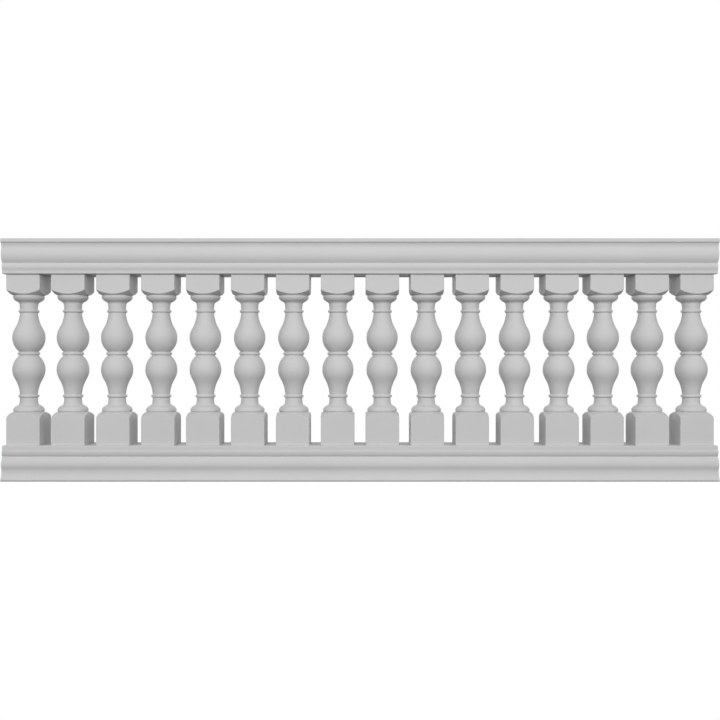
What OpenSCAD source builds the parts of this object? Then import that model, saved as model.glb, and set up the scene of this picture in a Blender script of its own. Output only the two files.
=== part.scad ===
// Fiberglass balustrade: one straight run of turned balusters between two moulded rails.
// X runs along the rails, the front faces -Y and Z is up.
// The origin is on the ground under the middle of the run. All sizes are in millimetres.

/* [Run] */
// Number of balusters
baluster_count = 16; // [2:1:24]
// Distance from one baluster's centre to the next
pitch = 187.3; // [145:0.1:260]
// Length of each rail beyond the last baluster's block
rail_overhang = 11.4; // [6:0.1:80]

/* [Both rails] */
// Flat seat that shows on each side of a block, where it meets a rail
seat_reveal = 13.2; // [6:0.1:40]
// Distance that the plinth and the list stand out beyond the seat
nose_out = 20.5; // [17:0.5:40]
// Radius of the small rounds along a rail's outer edges
rail_edge = 4; // [1:0.5:5]
// Thickness of a rail's moulded wall, as it shows at the rail's ends
rail_wall = 6; // [3:0.5:9]
// Thickness of the plate that closes each end of a rail
cap_t = 8; // [4:0.5:20]
// Bond line left round an end plate
cap_gap = 0.3; // [0.1:0.1:1]

/* [Bottom rail] */
// Height of the flared plinth
plinth_h = 41; // [36:1:80]
// Radius of the round under the plinth's edge
plinth_edge = 7; // [3:0.5:10]
// Height of the large round moulding
bottom_round_h = 58; // [50:1:80]
// Height of the small moulding and the fillet under the seat
bottom_fillet_h = 48; // [38:1:70]

/* [Top rail] */
// Height of the fillet and the small moulding over the balusters
top_fillet_h = 45; // [38:0.5:60]
// Height of the large round moulding
top_round_h = 62; // [50:0.5:90]
// Height of the cove under the list
top_cove_h = 22.5; // [16:0.5:34]
// Height of the list along the top edge
list_h = 15.5; // [8:0.5:30]

/* [Baluster blocks] */
// Width of the square blocks, both ways
block_w = 139.7; // [128:0.1:170]
// Height of the lower block, with its rounded shoulder
lower_block_h = 138; // [60:1:200]
// Height of the upper block, with its rounded shoulder
upper_block_h = 86; // [60:1:200]
// Height of the rounded shoulder, from its rim to a block's corner
shoulder_h = 23; // [12:1:40]
// Radius of the upright corners of a block
block_edge = 2.5; // [1:0.5:6]

/* [Baluster turning] */
// Height of the turned length between the two blocks
turned_h = 490; // [400:1:640]
// Distance that the bellies stay back from the faces of the blocks
belly_inset = 3.3; // [1:0.1:12]
// Distance that the collar stays back from the faces of the blocks
collar_inset = 6.4; // [3:0.1:12]
// Distance of each belly's widest place from the middle ring
belly_at = 68; // [50:1:85]
// Radius at the slim end of each belly
waist_r = 36.6; // [28:0.1:42]
// Radius of the middle ring
middle_ring_r = 45.1; // [42:0.1:54]
// Half the height of the middle ring
middle_ring_half = 6.4; // [4:0.1:8]
// Radius of the small ring at each end of the bellies
small_ring_r = 42.1; // [40:0.1:52]
// Half the height of the small ring
small_ring_half = 6.3; // [4:0.1:8]
// Height from the middle of the small ring to the block's rim
necking_h = 65.7; // [58:0.1:90]
// Radius of the neck, under the cove
neck_r = 37.8; // [33:0.1:42]

/* [Hidden] */
shell_color = [0.80, 0.80, 0.79];
cap_color = [0.76, 0.76, 0.75];

// Coarsest step of an arc in an outline, in degrees
arc_step = 7.5;
// Length that cutting shapes reach beyond what they cut
past = 1;

bottom_rail_h = plinth_h + bottom_round_h + bottom_fillet_h;
top_rail_h = top_fillet_h + top_round_h + top_cove_h + list_h;
baluster_h = lower_block_h + turned_h + upper_block_h;
top_rail_z = bottom_rail_h + baluster_h;
rail_l = (baluster_count - 1) * pitch + block_w + 2 * rail_overhang;
seat_half = block_w / 2 + seat_reveal;

function baluster_name(i) = str("baluster_", i < 10 ? "0" : "", i);
function baluster_x(i) = (i - (baluster_count + 1) / 2) * pitch;

// ---- Arcs for the outlines, which are all drawn upwards ----

// The rise of a quarter round, as a share of its radius
quarter = 1 - 1 / sqrt(2);

// An arc from p to q. Its middle stands out from the straight line by rise.
function bow(p, q, rise) =
    let (
        chord = norm(q - p),
        along = (q - p) / chord,
        out = [along.y, -along.x],
        half_angle = 2 * atan(2 * rise / chord),
        radius = chord / (2 * sin(half_angle)),
        steps = max(2, ceil(2 * abs(half_angle) / arc_step))
    )
    [for (i = [0 : steps])
        let (a = half_angle * (2 * i / steps - 1))
        (p + q) / 2 + along * radius * sin(a) + out * radius * (cos(a) - cos(half_angle))];

// The rise of an arc between p and q that runs upright where it reaches q
function upright_rise(p, q) =
    let (
        chord = norm(q - p),
        radius = chord * chord / (2 * (q.x - p.x))
    )
    radius - sign(radius) * sqrt(radius * radius - chord * chord / 4);

// A swelling or a hollow that is upright at its top, q, or at its foot, p
function swell_to(p, q) = bow(p, q, upright_rise(p, q));
function swell_from(p, q) = bow(p, q, upright_rise(q, p));

// Two arcs that meet share a point: one of the two is dropped
function joined(points) =
    [for (i = [0 : len(points) - 1])
        if (i == 0 || norm(points[i] - points[i - 1]) > 0.01) points[i]];

function turned_over(points) =
    [for (i = [len(points) - 1 : -1 : 0]) [points[i].x, -points[i].y]];
function mirrored_across(points) =
    [for (i = [len(points) - 1 : -1 : 0]) [-points[i].x, points[i].y]];

// ---- Balusters ----
// The turning is the same above and below its middle ring. Points are [radius, height over that ring].

middle_groove_r = 38.8;
middle_groove_w = 1.8;
ring_sink = 0.8;
belly_shoulder_h = 37;
belly_shoulder_in = 9.8;
tail_hollow = 3.8;
waist_h = 3.5;
ring_groove_h = 2;
ring_groove_in = 1.2;
collar_h = 18.5;
collar_spread = 13.8;
collar_swell = 1.2;
collar_lip_h = 4.7;
collar_lip_in = 2.8;
collar_groove = 0.8;
cove_h = 10.5;
cove_hollow = 1.6;
shoulder_swell = 1.8;

middle_groove = [middle_groove_r, middle_ring_half];
belly_foot = middle_groove + [0.4, middle_groove_w];
belly = [block_w / 2 - belly_inset, belly_at];
// Where the belly stops swelling and starts to hollow towards its slim end
belly_turn = belly + [-belly_shoulder_in, belly_shoulder_h];
small_ring_at = turned_h / 2 - necking_h;
small_ring_foot = [waist_r - ring_sink, small_ring_at - small_ring_half];
small_ring_top = [waist_r - ring_sink, small_ring_at + small_ring_half];
small_ring_groove = [waist_r - ring_groove_in, small_ring_foot.y - ring_groove_h];
waist = [waist_r, small_ring_groove.y - waist_h];
collar = [block_w / 2 - collar_inset, turned_h / 2 - collar_groove - collar_lip_h];
collar_foot = collar - [collar_spread, collar_h];
collar_brow = collar - [1.6, 7];
collar_rim = collar + [-collar_lip_in, collar_lip_h];
neck_top = [neck_r, collar_foot.y - cove_h];
shoulder_rim = [collar_rim.x - 0.7, turned_h / 2];
// The turning is cut to the square block, whose corners lie inside this radius
outer_r = block_w / sqrt(2) + past;

half_turning = joined(concat(
    swell_from([middle_ring_r, 0], middle_groove),
    swell_to(belly_foot, belly),
    swell_from(belly, belly_turn),
    bow(belly_turn, waist, -tail_hollow),
    [small_ring_groove],
    bow(small_ring_foot, small_ring_top, small_ring_r - small_ring_foot.x),
    bow(neck_top, collar_foot, -cove_hollow),
    bow(collar_foot, collar_brow, collar_swell),
    swell_to(collar_brow, collar),
    swell_from(collar, collar_rim),
    bow(shoulder_rim, [outer_r, shoulder_rim.y + shoulder_h], shoulder_swell)
));

turning = concat(
    turned_over(half_turning),
    [for (i = [1 : len(half_turning) - 1]) half_turning[i]]
);
turning_foot = -turned_h / 2 - lower_block_h - past;
turning_top = turned_h / 2 + upper_block_h + past;
turned_outline = concat(
    [[0, turning_foot], [outer_r, turning_foot]],
    turning,
    [[outer_r, turning_top], [0, turning_top]]
);

module rounded_square(w, r) {
    square([w - 2 * r, w], center = true);
    square([w, w - 2 * r], center = true);
    for (x = [-1, 1], y = [-1, 1])
        translate([x, y] * (w / 2 - r)) circle(r = r, $fn = 48);
}

module baluster(i) {
    color(shell_color)
        translate([baluster_x(i), 0, bottom_rail_h])
            intersection() {
                linear_extrude(height = baluster_h) rounded_square(block_w, block_edge);
                translate([0, 0, lower_block_h + turned_h / 2])
                    rotate_extrude($fn = 96) polygon(turned_outline);
            }
}

// ---- Rails ----
// Half outlines. Points are [distance out from the seat's edge, height over the rail's underside].

hollow_out = 7;
bottom_round_out = 12.3;
bottom_bead_out = 5;
bead_groove_h = 3;
bead_groove_in = 1.5;
bead_face_h = 5;
bead_lip = 0.8;
plinth_top = [hollow_out, plinth_h];
bottom_round = [bottom_round_out, plinth_h + 27];
// Where the hollow over the plinth turns into the round
bottom_round_foot = plinth_top + [2.2, 13];
bottom_neck = [0, plinth_h + bottom_round_h];
bottom_bead = [bottom_bead_out, bottom_neck.y + 20];

bottom_rail_half = joined(concat(
    bow([nose_out - plinth_edge, 0], [nose_out, plinth_edge], plinth_edge * quarter),
    swell_to([nose_out, plinth_edge], plinth_top),
    swell_from(plinth_top, bottom_round_foot),
    swell_to(bottom_round_foot, bottom_round),
    swell_from(bottom_round, bottom_neck),
    swell_to(bottom_neck + [-bead_groove_in, bead_groove_h], bottom_bead),
    bow(bottom_bead + [0, bead_face_h], [0, bottom_bead.y + bead_face_h + bead_groove_h], bead_lip),
    bow([0, bottom_rail_h - rail_edge], [-rail_edge, bottom_rail_h], rail_edge * quarter)
));

top_face_h = 8;
top_bead_out = 5;
top_round_out = 14.5;
cove_out = 9;
cove_depth = 5.5;
list_groove_h = 2;
list_edge = 2.2;
top_bead = [top_bead_out, top_face_h + 23];
// Where the hollow under the bead turns into the bead
top_bead_foot = top_bead - [2.5, 12];
top_neck = [0.5, top_fillet_h];
top_round = [top_round_out, top_neck.y + 36];
cove_foot = [cove_out, top_neck.y + top_round_h];
list_foot = cove_foot.y + top_cove_h;
cove_top = [cove_out + cove_depth, list_foot - list_groove_h];

top_rail_half = joined(concat(
    bow([-rail_edge, 0], [0, rail_edge], rail_edge * quarter),
    swell_from([0, top_face_h], top_bead_foot),
    swell_to(top_bead_foot, top_bead),
    swell_from(top_bead, top_neck),
    swell_to(top_neck, top_round),
    swell_from(top_round, cove_foot),
    swell_from(cove_foot, cove_top),
    bow([nose_out - list_edge, list_foot], [nose_out, list_foot + list_edge], list_edge * quarter),
    bow([nose_out, top_rail_h - list_edge], [nose_out - list_edge, top_rail_h], list_edge * quarter)
));

module rail_outline(half) {
    side = [for (p = half) p + [seat_half, 0]];
    polygon(concat(side, mirrored_across(side)));
}

module along_run(length) {
    rotate([90, 0, 90]) linear_extrude(height = length, center = true) children();
}

// A rail: its outline along the whole run, with a shallow seat in each end for the end plate
module rail(half) {
    difference() {
        along_run(rail_l) rail_outline(half);
        for (side = [-1, 1])
            translate([side * (rail_l - cap_t + past) / 2, 0, 0])
                along_run(cap_t + past) offset(delta = -rail_wall) rail_outline(half);
    }
}

// The plate that closes the rail's end on the given side, flush with the rail
module rail_cap(half, side) {
    translate([side * (rail_l - cap_t) / 2, 0, 0])
        along_run(cap_t) offset(delta = -rail_wall - cap_gap) rail_outline(half);
}

module bottom_rail() {
    color(shell_color) rail(bottom_rail_half);
}

module bottom_rail_cap(side) {
    color(cap_color) rail_cap(bottom_rail_half, side);
}

module top_rail() {
    color(shell_color) translate([0, 0, top_rail_z]) rail(top_rail_half);
}

module top_rail_cap(side) {
    color(cap_color) translate([0, 0, top_rail_z]) rail_cap(top_rail_half, side);
}

bottom_rail();
top_rail();
bottom_rail_cap(-1);  // bottom_rail_cap_left
bottom_rail_cap(1);  // bottom_rail_cap_right
top_rail_cap(-1);  // top_rail_cap_left
top_rail_cap(1);  // top_rail_cap_right
for (i = [1 : baluster_count])
    baluster(i);
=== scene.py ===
"""The looks of a fiberglass balustrade: turned balusters between two moulded rails.

Lengths are in metres. X runs along the rails, the front faces -Y and Z is up.
"""
import math

import bmesh
import bpy
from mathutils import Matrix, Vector


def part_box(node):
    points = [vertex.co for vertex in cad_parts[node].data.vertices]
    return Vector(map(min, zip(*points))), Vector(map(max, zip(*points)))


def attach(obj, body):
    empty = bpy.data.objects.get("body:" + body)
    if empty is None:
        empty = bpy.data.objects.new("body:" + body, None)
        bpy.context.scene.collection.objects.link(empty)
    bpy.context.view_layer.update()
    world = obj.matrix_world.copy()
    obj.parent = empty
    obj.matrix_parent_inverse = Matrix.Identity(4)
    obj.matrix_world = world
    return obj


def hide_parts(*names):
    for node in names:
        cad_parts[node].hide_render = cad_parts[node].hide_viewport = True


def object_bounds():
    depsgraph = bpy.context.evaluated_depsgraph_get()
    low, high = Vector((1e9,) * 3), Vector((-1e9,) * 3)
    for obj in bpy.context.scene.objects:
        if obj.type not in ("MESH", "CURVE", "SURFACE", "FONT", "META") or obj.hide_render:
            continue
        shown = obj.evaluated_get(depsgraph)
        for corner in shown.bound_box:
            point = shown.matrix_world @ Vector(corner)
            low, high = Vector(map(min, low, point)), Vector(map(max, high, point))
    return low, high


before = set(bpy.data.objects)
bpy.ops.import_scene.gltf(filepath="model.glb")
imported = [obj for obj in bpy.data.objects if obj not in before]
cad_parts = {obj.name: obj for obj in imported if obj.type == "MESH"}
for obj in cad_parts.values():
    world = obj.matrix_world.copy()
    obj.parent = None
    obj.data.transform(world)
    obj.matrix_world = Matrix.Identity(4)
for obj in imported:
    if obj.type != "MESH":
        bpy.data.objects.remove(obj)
cad_low, cad_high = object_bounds()

MM = 0.001
BODY = "root"


# ---- Sizes, taken from the frame where it holds them ----

BALUSTERS = sorted(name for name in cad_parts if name.startswith("baluster_"))
RAILS = ("bottom_rail", "top_rail")
END_PLATES = sorted(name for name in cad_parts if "_cap_" in name)

block_low, block_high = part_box(BALUSTERS[0])
block_half = (block_high.x - block_low.x) / 2
baluster_h = block_high.z - block_low.z
block_edge = 2.5 * MM

lower_block_h = 138 * MM
upper_block_h = 86 * MM
turned_h = baluster_h - lower_block_h - upper_block_h
shoulder_h = 23 * MM

run_middle = (cad_low + cad_high) / 2
run_l = cad_high.x - cad_low.x
run_h = cad_high.z - cad_low.z


# ---- Arcs for the turned outline, as (radius, height) pairs drawn upwards ----

ARC_STEP = math.radians(7.5)


def bow(p, q, rise):
    """An arc from p to q whose middle stands out from the straight line by rise."""
    p, q = Vector(p), Vector(q)
    chord = (q - p).length
    along = (q - p) / chord
    out = Vector((along.y, -along.x))
    half_angle = 2 * math.atan(2 * rise / chord)
    radius = chord / (2 * math.sin(half_angle))
    steps = max(2, math.ceil(2 * abs(half_angle) / ARC_STEP))
    points = []
    for i in range(steps + 1):
        a = half_angle * (2 * i / steps - 1)
        points.append((p + q) / 2 + along * radius * math.sin(a)
                      + out * radius * (math.cos(a) - math.cos(half_angle)))
    return points


def upright_rise(p, q):
    """The rise of an arc between p and q that runs upright where it reaches q."""
    chord = math.dist(p, q)
    radius = chord * chord / (2 * (q[0] - p[0]))
    return radius - math.copysign(math.sqrt(radius * radius - chord * chord / 4), radius)


def swell_to(p, q):
    return bow(p, q, upright_rise(p, q))


def swell_from(p, q):
    return bow(p, q, upright_rise(q, p))


def joined(*arcs):
    """One list of points, without the points that two arcs share."""
    points = []
    for arc in arcs:
        for p in arc:
            if not points or math.dist(p, points[-1]) > 0.01 * MM:
                points.append(Vector(p))
    return points


# ---- The turning: the same above and below its middle ring ----

half_turned = turned_h / 2
middle_ring_r = 45.1 * MM
middle_groove = Vector((38.8, 6.4)) * MM
belly_foot = middle_groove + Vector((0.4, 1.8)) * MM
belly = Vector((block_half - 3.3 * MM, 68 * MM))
belly_turn = belly + Vector((-9.8, 37)) * MM
tail_hollow = 3.8 * MM
waist_r = 36.6 * MM
small_ring_r = 42.1 * MM
small_ring_half = 6.3 * MM
small_ring_at = half_turned - 65.7 * MM
ring_foot = Vector((waist_r - 0.8 * MM, small_ring_at - small_ring_half))
ring_top = Vector((ring_foot.x, small_ring_at + small_ring_half))
ring_groove = ring_foot - Vector((0.4, 2)) * MM
waist = Vector((waist_r, ring_groove.y - 3.5 * MM))
collar = Vector((block_half - 6.4 * MM, half_turned - 5.5 * MM))
collar_foot = collar - Vector((13.8, 18.5)) * MM
collar_brow = collar - Vector((1.6, 7)) * MM
collar_rim = collar + Vector((-2.8, 4.7)) * MM
neck_top = Vector((37.8 * MM, collar_foot.y - 10.5 * MM))
cove_hollow = 1.6 * MM
collar_swell = 1.2 * MM

half_turning = joined(
    swell_from((middle_ring_r, 0), middle_groove),
    swell_to(belly_foot, belly),
    swell_from(belly, belly_turn),
    bow(belly_turn, waist, -tail_hollow),
    [ring_groove],
    bow(ring_foot, ring_top, small_ring_r - ring_foot.x),
    bow(neck_top, collar_foot, -cove_hollow),
    bow(collar_foot, collar_brow, collar_swell),
    swell_to(collar_brow, collar),
    swell_from(collar, collar_rim),
)

# The rounded shoulder that cuts into the square block
shoulder_rim = Vector((collar_rim.x - 0.7 * MM, half_turned))
corner_r = block_half * math.sqrt(2) + 1 * MM
shoulder_end = Vector((corner_r, half_turned + shoulder_h))
shoulder_arc = bow(shoulder_rim, shoulder_end, 1.8 * MM)
SHOULDER_ROWS = 7
shoulder_ease = 1.4 * MM
end_ease = 0.9 * MM


def shoulder_height(radius):
    """Height of the shoulder's surface over the middle ring, at a radius."""
    for low, high in zip(shoulder_arc, shoulder_arc[1:]):
        if radius <= high.x:
            break
    share = (radius - low.x) / (high.x - low.x)
    return low.y + share * (high.y - low.y)


def block_reach(angle):
    """Distance from the baluster's axis to the rounded square outline of its blocks."""
    major = max(abs(math.cos(angle)), abs(math.sin(angle)))
    minor = min(abs(math.cos(angle)), abs(math.sin(angle)))
    reach = block_half / major
    corner = block_half - block_edge
    if reach * minor <= corner:
        return reach
    across = (major + minor) * corner
    return across + math.sqrt(across * across - 2 * corner * corner + block_edge * block_edge)


def shoulder_and_block(reach, block_h):
    """The rows from the shoulder's rim to the far end of the block, on one side of the axis."""
    rows = []
    last = reach - shoulder_ease
    for i in range(SHOULDER_ROWS + 1):
        radius = shoulder_rim.x + (last - shoulder_rim.x) * i / SHOULDER_ROWS
        rows.append(Vector((radius, shoulder_height(radius))))
    crest = Vector((reach, shoulder_height(reach)))
    above = crest + Vector((0, shoulder_ease))
    rows.append((rows[-1] + 2 * crest + above) / 4)
    rows.append(above)
    top = half_turned + block_h
    rows.append(Vector((reach, top - end_ease)))
    rows.append(Vector((reach - 0.3 * end_ease, top - 0.3 * end_ease)))
    rows.append(Vector((reach - end_ease, top)))
    return rows


def turned_over(points):
    return [Vector((p.x, -p.y)) for p in reversed(points)]


# Columns round the axis: even steps, with more at the rounded corners of the blocks
COLUMNS = 64
corner_span = math.pi / 4 - math.atan2(block_half - block_edge, block_half)
angles = [2 * math.pi * i / COLUMNS for i in range(COLUMNS)]
for quarter in range(4):
    middle = math.pi / 4 + quarter * math.pi / 2
    for share in (0.25, 0.5, 0.75, 1.0):
        angles.append(middle - share * corner_span)
        angles.append(middle + share * corner_span)
angles.sort()


def lathe_mesh(name):
    """A closed mesh of one baluster, standing on its own foot at the origin."""
    foot_to_ring = lower_block_h + half_turned
    bm = bmesh.new()
    columns = []
    for angle in angles:
        reach = block_reach(angle)
        lower = turned_over(shoulder_and_block(reach, lower_block_h))
        upper = shoulder_and_block(reach, upper_block_h)
        rows = lower + turned_over(half_turning) + half_turning[1:] + upper
        columns.append([
            bm.verts.new((p.x * math.cos(angle), p.x * math.sin(angle), p.y + foot_to_ring))
            for p in rows])
    for here, there in zip(columns, columns[1:] + columns[:1]):
        for i in range(len(here) - 1):
            bm.faces.new((here[i], there[i], there[i + 1], here[i + 1]))
    bm.faces.new([column[0] for column in reversed(columns)])
    bm.faces.new([column[-1] for column in columns])
    bm.normal_update()
    mesh = bpy.data.meshes.new(name)
    bm.to_mesh(mesh)
    bm.free()
    smooth(mesh)
    return mesh


CREASE = math.radians(32)


def smooth(mesh):
    mesh.shade_smooth()
    mesh.set_sharp_from_angle(angle=CREASE)


def even_normals(piece):
    """Keeps flat faces flat beside small rounds."""
    modifier = piece.modifiers.new("even_normals", "WEIGHTED_NORMAL")
    modifier.keep_sharp = True
    modifier.weight = 100


def link(name, mesh):
    piece = bpy.data.objects.new(name, mesh)
    bpy.context.scene.collection.objects.link(piece)
    return piece


# ---- Rails: the frame's own outline, with its long facets smoothed and its arrises eased ----

RAIL_EASE = 0.8 * MM
ARRIS = math.radians(50)


def eased_rail(node, name):
    bm = bmesh.new()
    bm.from_mesh(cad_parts[node].data)
    bmesh.ops.remove_doubles(bm, verts=bm.verts, dist=0.01 * MM)
    bmesh.ops.dissolve_limit(bm, angle_limit=math.radians(0.2), verts=bm.verts, edges=bm.edges)
    arrises = [e for e in bm.edges
               if e.is_manifold and e.is_convex and e.calc_face_angle() > ARRIS]
    bmesh.ops.bevel(bm, geom=arrises, offset=RAIL_EASE, segments=2, profile=0.5,
                    affect="EDGES", clamp_overlap=True)
    mesh = bpy.data.meshes.new(name)
    bm.to_mesh(mesh)
    bm.free()
    smooth(mesh)
    return link(name, mesh)


# ---- Materials ----

def node_of(tree, kind, **inputs):
    node = tree.nodes.new(kind)
    for key, value in inputs.items():
        node.inputs[key.replace("_", " ")].default_value = value
    return node


def noise(tree, place, scale, detail):
    node = node_of(tree, "ShaderNodeTexNoise", Scale=scale, Detail=detail, Roughness=0.55)
    tree.links.new(place, node.inputs["Vector"])
    return node.outputs["Fac"]


def ramp(tree, value, low, high, dark, light):
    """Carries a value from low..high to the colours dark..light."""
    node = tree.nodes.new("ShaderNodeValToRGB")
    node.color_ramp.elements[0].position = low
    node.color_ramp.elements[0].color = (*dark, 1)
    node.color_ramp.elements[1].position = high
    node.color_ramp.elements[1].color = (*light, 1)
    tree.links.new(value, node.inputs["Fac"])
    return node.outputs["Color"]


def grey(value, warm=0.0):
    return (value * (1 + warm), value, value * (1 - warm))


def mixed(tree, mode, share, first, second):
    node = tree.nodes.new("ShaderNodeMix")
    node.data_type = "RGBA"
    node.blend_type = mode
    node.inputs["Factor"].default_value = share
    tree.links.new(first, node.inputs["A"])
    tree.links.new(second, node.inputs["B"])
    return node.outputs["Result"]


def coat_material(name, tone, peel_size, peel_depth, rough):
    """Primed gel coat: faint mottling, fine speckle and the shallow orange peel of a sprayed skin."""
    material = bpy.data.materials.new(name)
    material.use_nodes = True
    tree = material.node_tree
    shader = tree.nodes["Principled BSDF"]
    place = tree.nodes.new("ShaderNodeNewGeometry").outputs["Position"]
    mottle = ramp(tree, noise(tree, place, 5.0, 4.0), 0.3, 0.7, grey(tone * 0.982), grey(tone * 1.012, 0.002))
    speckle = ramp(tree, noise(tree, place, 420.0, 2.0), 0.35, 0.65, grey(0.985), grey(1.0))
    colour = mixed(tree, "MULTIPLY", 1.0, mottle, speckle)
    tree.links.new(colour, shader.inputs["Base Color"])
    sheen = ramp(tree, noise(tree, place, 24.0, 3.0), 0.3, 0.7, grey(rough - 0.04), grey(rough + 0.05))
    tree.links.new(sheen, shader.inputs["Roughness"])
    shader.inputs["Specular IOR Level"].default_value = 0.25
    fine = node_of(tree, "ShaderNodeBump", Strength=0.5, Distance=peel_depth)
    tree.links.new(noise(tree, place, 1 / peel_size, 2.0), fine.inputs["Height"])
    broad = node_of(tree, "ShaderNodeBump", Strength=0.35, Distance=0.4 * MM)
    tree.links.new(noise(tree, place, 14.0, 2.0), broad.inputs["Height"])
    tree.links.new(fine.outputs["Normal"], broad.inputs["Normal"])
    tree.links.new(broad.outputs["Normal"], shader.inputs["Normal"])
    return material


def dress(piece, material):
    piece.data.materials.clear()
    piece.data.materials.append(material)


gel_coat = coat_material("gel_coat", 0.625, 4 * MM, 0.05 * MM, 0.62)
plate_coat = coat_material("plate_coat", 0.60, 2.5 * MM, 0.03 * MM, 0.68)


# ---- The pieces ----

baluster_mesh = lathe_mesh("baluster_moulding")
for name in BALUSTERS:
    low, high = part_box(name)
    piece = link(name + "_moulding", baluster_mesh.copy())
    piece.location = ((low.x + high.x) / 2, (low.y + high.y) / 2, low.z)
    even_normals(piece)
    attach(piece, BODY)
    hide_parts(name)
    dress(piece, gel_coat)

for name in RAILS:
    piece = eased_rail(name, name + "_moulding")
    even_normals(piece)
    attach(piece, BODY)
    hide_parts(name)
    dress(piece, gel_coat)

for name in END_PLATES:
    dress(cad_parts[name], plate_coat)


# ---- Camera: level, in front of the middle of the run ----

SENSOR = 36.0
CAMERA_LENS = 44.625
CAMERA_BACK = 3.788

camera = bpy.data.objects.new("camera", bpy.data.cameras.new("camera"))
bpy.context.scene.collection.objects.link(camera)
camera.data.sensor_width = SENSOR
camera.data.lens = CAMERA_LENS
camera.location = (run_middle.x, run_middle.y - CAMERA_BACK, run_middle.z)
camera.rotation_euler = (math.radians(90), 0, 0)
bpy.context.scene.camera = camera


# ---- Floor, background and lamps ----

def seen_directly(tree):
    """1 for what the camera, a reflection or a transmission sees, 0 for light on the object."""
    path = tree.nodes.new("ShaderNodeLightPath")
    total = path.outputs["Is Camera Ray"]
    for name in ("Is Glossy Ray", "Is Transmission Ray"):
        add = tree.nodes.new("ShaderNodeMath")
        add.operation = "MAXIMUM"
        tree.links.new(total, add.inputs[0])
        tree.links.new(path.outputs[name], add.inputs[1])
        total = add.outputs[0]
    return total


AMBIENT = 0.42
world = bpy.data.worlds.new("studio")
bpy.context.scene.world = world
world.use_nodes = True
sky = world.node_tree
sky.nodes["Background"].inputs["Color"].default_value = (1, 1, 1, 1)
sky.nodes["Background"].inputs["Strength"].default_value = AMBIENT
white = node_of(sky, "ShaderNodeBackground", Color=(1, 1, 1, 1), Strength=1.0)
choice = sky.nodes.new("ShaderNodeMixShader")
sky.links.new(seen_directly(sky), choice.inputs["Fac"])
sky.links.new(sky.nodes["Background"].outputs[0], choice.inputs[1])
sky.links.new(white.outputs[0], choice.inputs[2])
sky.links.new(choice.outputs[0], sky.nodes["World Output"].inputs["Surface"])

FLOOR_REACH = 12.0
FLOOR_TONE = 0.12
FLOOR_GLOW = 0.92
SHADOW_NEAR = 0.5
SHADOW_FAR = 1.5


def floor_material():
    """A pale floor that keeps the object's shadow near it and fades to the white background."""
    material = bpy.data.materials.new("floor")
    material.use_nodes = True
    tree = material.node_tree
    tree.nodes.remove(tree.nodes["Principled BSDF"])
    matt = node_of(tree, "ShaderNodeBsdfDiffuse", Color=(*grey(FLOOR_TONE), 1))
    glow = node_of(tree, "ShaderNodeEmission", Color=(1, 1, 1, 1), Strength=FLOOR_GLOW)
    lit = tree.nodes.new("ShaderNodeAddShader")
    tree.links.new(matt.outputs[0], lit.inputs[0])
    tree.links.new(glow.outputs[0], lit.inputs[1])
    plain = node_of(tree, "ShaderNodeEmission", Color=(1, 1, 1, 1), Strength=1.0)
    place = tree.nodes.new("ShaderNodeNewGeometry").outputs["Position"]
    split = tree.nodes.new("ShaderNodeSeparateXYZ")
    tree.links.new(place, split.inputs[0])
    away = tree.nodes.new("ShaderNodeMath")
    away.operation = "ABSOLUTE"
    tree.links.new(split.outputs["Y"], away.inputs[0])
    fade = tree.nodes.new("ShaderNodeMapRange")
    fade.interpolation_type = "SMOOTHSTEP"
    fade.inputs["From Min"].default_value = SHADOW_NEAR
    fade.inputs["From Max"].default_value = SHADOW_FAR
    tree.links.new(away.outputs[0], fade.inputs["Value"])
    shown = tree.nodes.new("ShaderNodeMixShader")
    tree.links.new(fade.outputs["Result"], shown.inputs["Fac"])
    tree.links.new(lit.outputs[0], shown.inputs[1])
    tree.links.new(plain.outputs[0], shown.inputs[2])
    either = tree.nodes.new("ShaderNodeMixShader")
    tree.links.new(seen_directly(tree), either.inputs["Fac"])
    tree.links.new(matt.outputs[0], either.inputs[1])
    tree.links.new(shown.outputs[0], either.inputs[2])
    tree.links.new(either.outputs[0], tree.nodes["Material Output"].inputs["Surface"])
    return material


floor_mesh = bpy.data.meshes.new("floor")
r = FLOOR_REACH
floor_mesh.from_pydata([(-r, -r, 0), (r, -r, 0), (r, r, 0), (-r, r, 0)], [], [(0, 1, 2, 3)])
floor_mesh.materials.append(floor_material())
floor = link("floor", floor_mesh)
floor.location.z = cad_low.z


def softbox(name, place, aim, width, height, power):
    data = bpy.data.lights.new(name, "AREA")
    data.shape = "RECTANGLE"
    data.size, data.size_y, data.energy = width, height, power
    lamp = bpy.data.objects.new(name, data)
    bpy.context.scene.collection.objects.link(lamp)
    lamp.location = place
    lamp.rotation_euler = (Vector(aim) - Vector(place)).to_track_quat("-Z", "Y").to_euler()
    lamp.visible_camera = False
    return lamp


softbox("key", (0, -3.6, 1.7), run_middle, 9.0, 1.0, 156)
softbox("fill", (0, 4.0, 0.9), run_middle, 9.0, 1.0, 55)

bpy.context.scene.view_settings.view_transform = "Standard"
